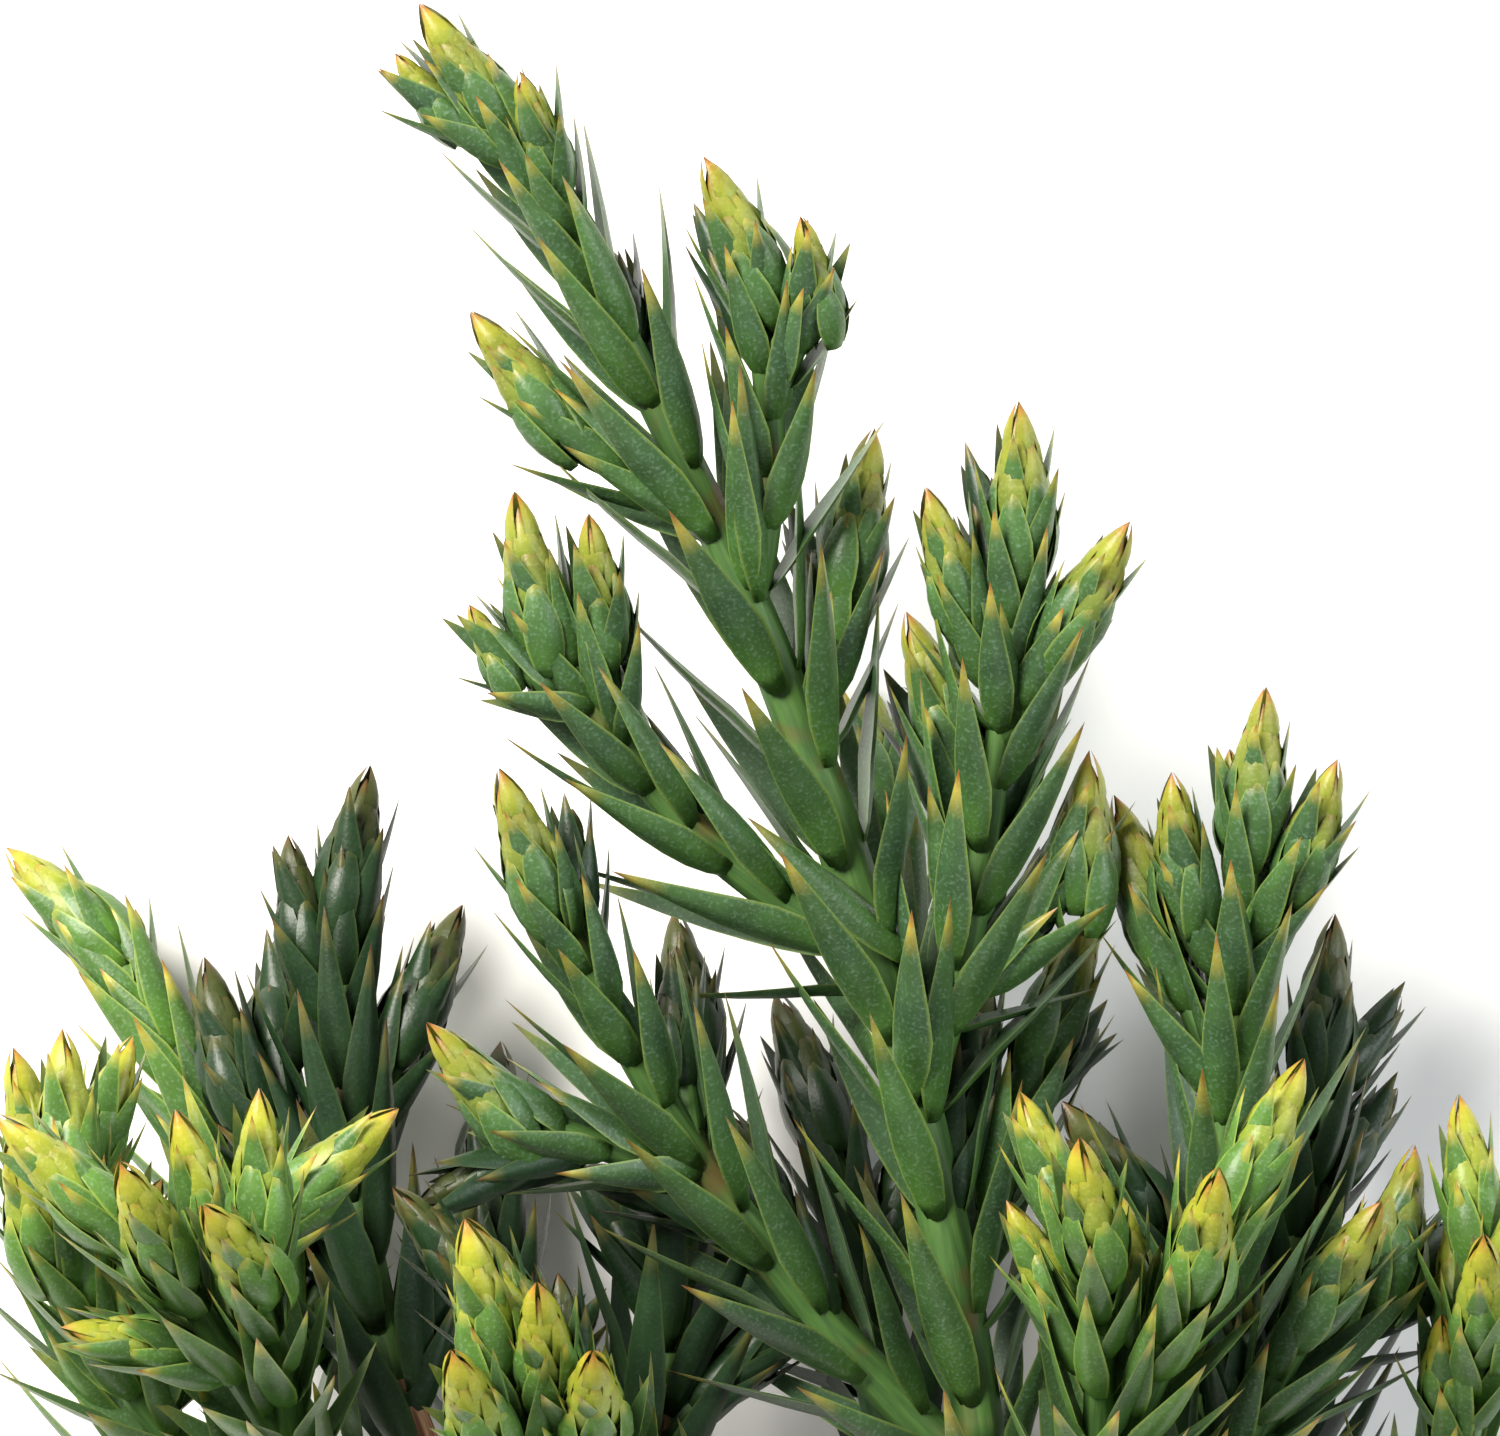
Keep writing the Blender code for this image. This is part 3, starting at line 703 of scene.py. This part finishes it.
# A live needle has a waxy skin: a soft sheen, fine pale specks and thin paler margins. A bud's
# young scales have the same skin, yellower and browner towards their points
def leafMaterial(name, look, finish):
    material, tree, shader = newMaterial(name, finish["roughness"])
    shader.inputs["Specular IOR Level"].default_value = finish["specular"]
    uv = addNode(tree, "ShaderNodeUVMap", {"uv_map": "blade"})
    blade = addNode(tree, "ShaderNodeSeparateXYZ", links={0: uv.outputs[0]})
    place = addNode(tree, "ShaderNodeTexCoord").outputs["Object"]
    colour = addNode(tree, "ShaderNodeValToRGB", {"stops": [
        (0.0, look["foot"]), (0.2, look["low"]), (0.45, look["middle"]), (0.76, look["high"]),
        (0.9, look["tip"]), (0.975, look["point"]),
    ]}, {0: blade.outputs[0]}).outputs[0]
    tone = addNode(tree, "ShaderNodeAttribute", {"attribute_name": "tone"})
    part = addNode(tree, "ShaderNodeMapRange", {"To Min": 0.0, "To Max": finish["toneShare"]},
                   {0: tone.outputs["Fac"]})
    colour = addNode(tree, "ShaderNodeMix", {**mixed, 7: toLinear(look["tone"])},
                     {0: part.outputs[0], 6: colour}).outputs[2]
    patches = addNode(tree, "ShaderNodeTexNoise", {"Scale": 700.0, "Detail": 3.0},
                      {"Vector": place})  # patches about 1.4 mm across
    shade = addNode(tree, "ShaderNodeMapRange",
                    {"From Min": 0.3, "From Max": 0.7, "To Min": 0.78, "To Max": 1.16},
                    {0: patches.outputs["Fac"]})
    colour = addNode(tree, "ShaderNodeMix", multiplied,
                     {6: colour, 7: shade.outputs[0]}).outputs[2]
    inside = addNode(tree, "ShaderNodeMath", {"operation": "GREATER_THAN", 1: 1.0},
                     {0: blade.outputs[1]})
    inward = addNode(tree, "ShaderNodeMath", {"operation": "MULTIPLY", 1: 0.6},
                     {0: inside.outputs[0]})
    colour = addNode(tree, "ShaderNodeMix", {**mixed, 7: toLinear(look["inner"])},
                     {0: inward.outputs[0], 6: colour}).outputs[2]
    across = addNode(tree, "ShaderNodeMath", {"operation": "PINGPONG", 1: 0.5},
                     {0: blade.outputs[1]})
    margin = addNode(tree, "ShaderNodeMapRange",
                     {"From Min": 0.0, "From Max": 0.09, "To Min": 0.7, "To Max": 0.0},
                     {0: across.outputs[0]})
    colour = addNode(tree, "ShaderNodeMix", {**mixed, 7: toLinear(look["margin"])},
                     {0: margin.outputs[0], 6: colour}).outputs[2]
    specks = addNode(tree, "ShaderNodeTexNoise", {"Scale": 6500.0, "Detail": 2.0},
                     {"Vector": place})  # wax specks of 0.15 mm
    wax = addNode(tree, "ShaderNodeMapRange",
                  {"From Min": 0.52, "From Max": 0.74, "To Min": 0.0, "To Max": 0.3},
                  {0: specks.outputs["Fac"]})
    colour = addNode(tree, "ShaderNodeMix", {**mixed, 7: toLinear(look["wax"])},
                     {0: wax.outputs[0], 6: colour}).outputs[2]
    tree.links.new(colour, shader.inputs["Base Color"])
    bump = addNode(tree, "ShaderNodeBump", {"Strength": 0.25, "Distance": 0.00006},
                   {"Height": specks.outputs["Fac"]})
    tree.links.new(bump.outputs[0], shader.inputs["Normal"])
    return material


# A young stem is green and ridged by the leaf bases that run down it, browner where it ages
def twigMaterial():
    material, tree, shader = newMaterial("green_juniper_shoot", 0.55)
    uv = addNode(tree, "ShaderNodeUVMap", {"uv_map": "blade"})
    place = addNode(tree, "ShaderNodeTexCoord").outputs["Object"]
    grain = addNode(tree, "ShaderNodeMapping", {"Scale": (0.35, 14.0, 1.0)},
                    {0: uv.outputs[0]})  # streaks of 3 mm along, 14 round the shoot
    streaks = addNode(tree, "ShaderNodeTexNoise", {"Scale": 1.0, "Detail": 4.0},
                      {"Vector": grain.outputs[0]})
    green = addNode(tree, "ShaderNodeValToRGB", {"stops": [
        (0.35, twigLook["green"]), (0.68, twigLook["yellow"]), (0.85, twigLook["brown"]),
    ]}, {0: streaks.outputs["Fac"]})
    patches = addNode(tree, "ShaderNodeTexNoise", {"Scale": 260.0},
                      {"Vector": place})  # patches of 4 mm
    aged = addNode(tree, "ShaderNodeMapRange",
                   {"From Min": 0.6, "From Max": 0.72, "To Min": 0.0, "To Max": 0.6},
                   {0: patches.outputs["Fac"]})
    colour = addNode(tree, "ShaderNodeMix", {**mixed, 7: toLinear(twigLook["brown"])},
                     {0: aged.outputs[0], 6: green.outputs[0]}).outputs[2]
    tree.links.new(colour, shader.inputs["Base Color"])
    bump = addNode(tree, "ShaderNodeBump", {"Strength": 0.5, "Distance": 0.0001},
                   {"Height": streaks.outputs["Fac"]})
    tree.links.new(bump.outputs[0], shader.inputs["Normal"])
    return material


# Thin juniper bark peels lengthwise in narrow strips, red-brown below and grey on top
def barkMaterial():
    material, tree, shader = newMaterial("thin_juniper_bark", 0.82)
    uv = addNode(tree, "ShaderNodeUVMap", {"uv_map": "blade"})
    place = addNode(tree, "ShaderNodeTexCoord").outputs["Object"]
    grain = addNode(tree, "ShaderNodeMapping", {"Scale": (0.28, 16.0, 1.0)},
                    {0: uv.outputs[0]})  # strips of 3.6 mm along, 16 round the stem
    strips = addNode(tree, "ShaderNodeTexNoise",
                     {"Scale": 1.0, "Detail": 6.0, "Distortion": 0.4},
                     {"Vector": grain.outputs[0]})
    colour = addNode(tree, "ShaderNodeValToRGB", {"stops": [
        (0.3, barkLook["dark"]), (0.47, barkLook["middle"]), (0.6, barkLook["pale"]),
        (0.72, barkLook["grey"]),
    ]}, {0: strips.outputs["Fac"]})
    patches = addNode(tree, "ShaderNodeTexNoise", {"Scale": 320.0, "Detail": 3.0},
                      {"Vector": place})  # weathered patches of 3 mm
    shade = addNode(tree, "ShaderNodeMapRange",
                    {"From Min": 0.3, "From Max": 0.7, "To Min": 0.7, "To Max": 1.2},
                    {0: patches.outputs["Fac"]})
    weathered = addNode(tree, "ShaderNodeMix", multiplied,
                        {6: colour.outputs[0], 7: shade.outputs[0]})
    tree.links.new(weathered.outputs[2], shader.inputs["Base Color"])
    bump = addNode(tree, "ShaderNodeBump", {"Strength": 0.8, "Distance": 0.00025},
                   {"Height": strips.outputs["Fac"]})
    tree.links.new(bump.outputs[0], shader.inputs["Normal"])
    return material


# Freshly cut sapwood: pale, matt, with close growth rings round the pith
def cutMaterial():
    material, tree, shader = newMaterial("cut_juniper_wood", 0.7)
    centre = (stemSizes["cut"] + placing["shift"]) * mm
    place = addNode(tree, "ShaderNodeTexCoord").outputs["Object"]
    moved = addNode(tree, "ShaderNodeMapping", {"Location": -centre}, {0: place})
    rings = addNode(tree, "ShaderNodeTexWave",
                    {"wave_type": "RINGS", "rings_direction": "SPHERICAL", "Scale": 900.0,
                     "Distortion": 1.2, "Detail": 2.0}, {"Vector": moved.outputs[0]})
    colour = addNode(tree, "ShaderNodeValToRGB", {"stops": [
        (0.2, cutLook["wood"]), (0.9, cutLook["ring"]),
    ]}, {0: rings.outputs["Fac"]})
    tree.links.new(colour.outputs[0], shader.inputs["Base Color"])
    return material


print("materials")
leafMaterials = [leafMaterial("waxy_juniper_needle_" + tintName, leafLooks[tintName], needleFinish)
                 for tintName in tintNames]
budMaterials = [leafMaterial("young_bud_scale_" + tintName, budLooks[tintName], scaleFinish)
                for tintName in tintNames]
shootMaterial = twigMaterial()
woodMaterials = [barkMaterial(), cutMaterial()]


def finishPiece(name, shape, materials, nodes):
    mesh = bpy.data.meshes.new(name)
    shape.to_mesh(mesh)
    shape.free()
    for material in materials:
        mesh.materials.append(material)
    piece = bpy.data.objects.new(name, mesh)
    bpy.context.scene.collection.objects.link(piece)
    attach(piece, "root")
    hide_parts(*nodes)
    print(name, len(mesh.polygons), "faces")


# Thin bark's surface: narrow strips and low knots. The depths are shares of the radius
barkSizes = {
    "around": 2.2,
    "along": 0.22,
    "strip": 1.6,
    "knot": 0.4,
    "knotAlong": 0.15,
    "knotDepth": 0.09,
    "stemDepth": 0.07,
    "boughDepth": 0.08,
    "seedStep": 7.3,
}


def barkRelief(seed, depth):
    def shapeAt(along, turn, j):
        x, y = math.cos(turn) * barkSizes["around"], math.sin(turn) * barkSizes["around"]
        strip, knot = barkSizes["strip"], barkSizes["knot"]
        strips = noise.noise(Vector((x * strip, y * strip, along * barkSizes["along"] + seed)))
        knots = noise.noise(Vector((x * knot, y * knot, along * barkSizes["knotAlong"] + seed)))
        return 1 + depth * strips + barkSizes["knotDepth"] * knots
    return shapeAt


def growWood():
    wood, nodes = bmesh.new(), ["cut_stem"]
    addTube(wood, axes["stem"], 0, 1, lambda t: between(stemSizes["radius"], t),
            barkRelief(0, barkSizes["stemDepth"]), stemSizes, False, 1)
    for sprayName, shoots in sprays.items():
        main = next(iter(shoots))
        if shoots[main][0] != "stem":
            continue
        axis = axes[main]
        top = (boughSizes["woody"] + boughSizes["intoShoot"]) / axis["length"]

        def radiusAt(t, top=top):
            spread = max(0.0, 1 - t / top * boughSizes["flareFade"]) ** 2
            return between(boughSizes["radius"], t / top) + boughSizes["flare"] * spread

        relief = barkRelief(len(nodes) * barkSizes["seedStep"], barkSizes["boughDepth"])
        addTube(wood, axis, 0, top, radiusAt, relief, boughSizes, True)
        nodes.append(sprayName.replace("spray", "bough"))
    finishPiece("woody_stem_and_boughs", wood, woodMaterials, nodes)


# Sprays that are joined into one piece of each kind, and the tint that their leaves get
# The darkest tint is painted shade: a darker copy of the leaf look for sprays behind or under the
# others
groups = {
    "leader": {"leader_spray": "blue", "lower_left_spray": "blue"},
    "right_side": {
        "right_spray": "blue", "back_right_spray": "painted_shade", "front_right_spray": "fresh",
        "low_right_spray": "blue", "far_right_spray": "fresh",
    },
    "left_side": {
        "dark_spray": "painted_shade", "far_left_spray": "fresh", "front_left_spray": "fresh",
        "end_spray": "fresh", "near_left_spray": "fresh",
    },
    "middle": {
        "low_middle_spray": "blue", "near_middle_spray": "fresh", "back_middle_spray": "painted_shade",
        "back_centre_spray": "painted_shade", "back_left_spray": "painted_shade",
    },
}


def ridgeAt(along, turn, j):  # leaf bases stand out on every second side
    return 1 + twigSizes["ridge"] * (1 if j % 2 else -1)


def growGroup(groupName, members, stems):
    needles, buds, twigs = bmesh.new(), bmesh.new(), bmesh.new()
    for sprayName, tintName in members.items():
        for shootName, row in sprays[sprayName].items():
            axis = axes[shootName]
            long = axis["length"]
            # Twigs on the hidden side of a blue spray get painted shade, the darkest tint
            shaded = "_twig_" in shootName and tintName == "blue"
            tint = tintNames.index("painted_shade" if shaded else tintName)
            woody = row[0] == "stem"
            start = boughSizes["woody"] / long if woody else 0.0
            lowest = boughSizes["needlesFrom"] / long if woody else 0.0
            share = budShare(axis)
            lengths, steps = budSizes["reach"]
            budLength = (budSizes["length"] * lengths + steps * budSizes["step"]) * share

            def radiusAt(t, long=long):
                return twigRadius((1 - t) * long)

            end = 1 - twigSizes["belowTip"] * share / long
            addTube(twigs, axis, start, end, radiusAt, ridgeAt, twigSizes, True)
            growBud(buds, shootName, share, tint)
            growNeedles(needles, shootName, lowest, budLength, tint, stems)
    nodes = list(members)
    finishPiece(groupName + "_needles", needles, leafMaterials, nodes)
    finishPiece(groupName + "_bud_scales", buds, budMaterials + leafMaterials, nodes)
    finishPiece(groupName + "_green_shoots", twigs, [shootMaterial], nodes)


growWood()
allStems = findStems()
for groupName, members in groups.items():
    growGroup(groupName, members, allStems)


# Camera, straight down over the middle of the photographed part
cameraSizes = {
    "height": 0.62,
    "aimHeight": 0.020,
    "frameWidth": 0.060,  # across the picture at the aim's height
    "clipStart": 0.01,
    "sensor": 36.0,  # millimetres
}


def placeCamera():
    camera = bpy.data.cameras.new("camera")
    camera.sensor_width = cameraSizes["sensor"]
    camera.sensor_fit = "HORIZONTAL"
    distance = cameraSizes["height"] - cameraSizes["aimHeight"]
    camera.lens = camera.sensor_width * distance / cameraSizes["frameWidth"]
    camera.clip_start = cameraSizes["clipStart"]
    holder = bpy.data.objects.new("camera", camera)
    shift = placing["shift"] * mm
    holder.location = (shift.x, shift.y, cameraSizes["height"])
    bpy.context.scene.collection.objects.link(holder)
    bpy.context.scene.camera = holder


# Soft lamps that all point at the branch, in a room that gives a little light from all round
lamps = {
    "key": {"from": (-0.34, 0.30, 0.46), "size": 0.30, "watts": 11.0, "colour": "#fffaf2"},
    "side": {"from": (0.46, 0.10, 0.34), "size": 0.34, "watts": 2.6, "colour": "#f6faff"},
    "low": {"from": (-0.05, -0.5, 0.36), "size": 0.34, "watts": 0.5, "colour": "#ffffff"},
}
room = {"aim": Vector((0, 0, 0.015)), "light": 0.19, "brighterSeen": 0.78}


def placeLights():
    for name, lamp in lamps.items():
        light = bpy.data.lights.new(name, "AREA")
        light.size = lamp["size"]
        light.energy = lamp["watts"]
        light.color = toLinear(lamp["colour"])[:3]
        holder = bpy.data.objects.new(name, light)
        holder.location = lamp["from"]
        aim = room["aim"] - holder.location
        holder.rotation_euler = aim.to_track_quat("-Z", "Y").to_euler()
        bpy.context.scene.collection.objects.link(holder)
    world = bpy.data.worlds.new("studio")
    world.use_nodes = True
    tree = world.node_tree
    walls = tree.nodes["Background"]
    walls.inputs["Color"].default_value = (1, 1, 1, 1)
    rays = addNode(tree, "ShaderNodeLightPath")  # the walls look paler than their light is
    strength = addNode(tree, "ShaderNodeMath",
                       {"operation": "MULTIPLY_ADD", 1: room["brighterSeen"], 2: room["light"]},
                       {0: rays.outputs["Is Camera Ray"]})
    tree.links.new(strength.outputs[0], walls.inputs["Strength"])
    bpy.context.scene.world = world


floorSizes = {"half": 0.6, "height": -0.0001}  # a hair below what rests on it


def placeFloor():
    shape = bmesh.new()
    bmesh.ops.create_grid(shape, x_segments=1, y_segments=1, size=floorSizes["half"])
    bmesh.ops.translate(shape, vec=(0, 0, floorSizes["height"]), verts=shape.verts)
    mesh = bpy.data.meshes.new("floor")
    shape.to_mesh(mesh)
    shape.free()
    floor = bpy.data.objects.new("floor", mesh)
    material, _, shader = newMaterial("matt_painted_board", 0.9)  # no gloss, soft shadows
    shader.inputs["Base Color"].default_value = toLinear(floorLook["paint"])
    mesh.materials.append(material)
    bpy.context.scene.collection.objects.link(floor)


print("camera, lights and floor")
placeCamera()
placeLights()
placeFloor()
bpy.context.scene.view_settings.view_transform = "Standard"
bpy.data.meshes.remove(scratchMesh)
needleShape.free()
scaleShape.free()
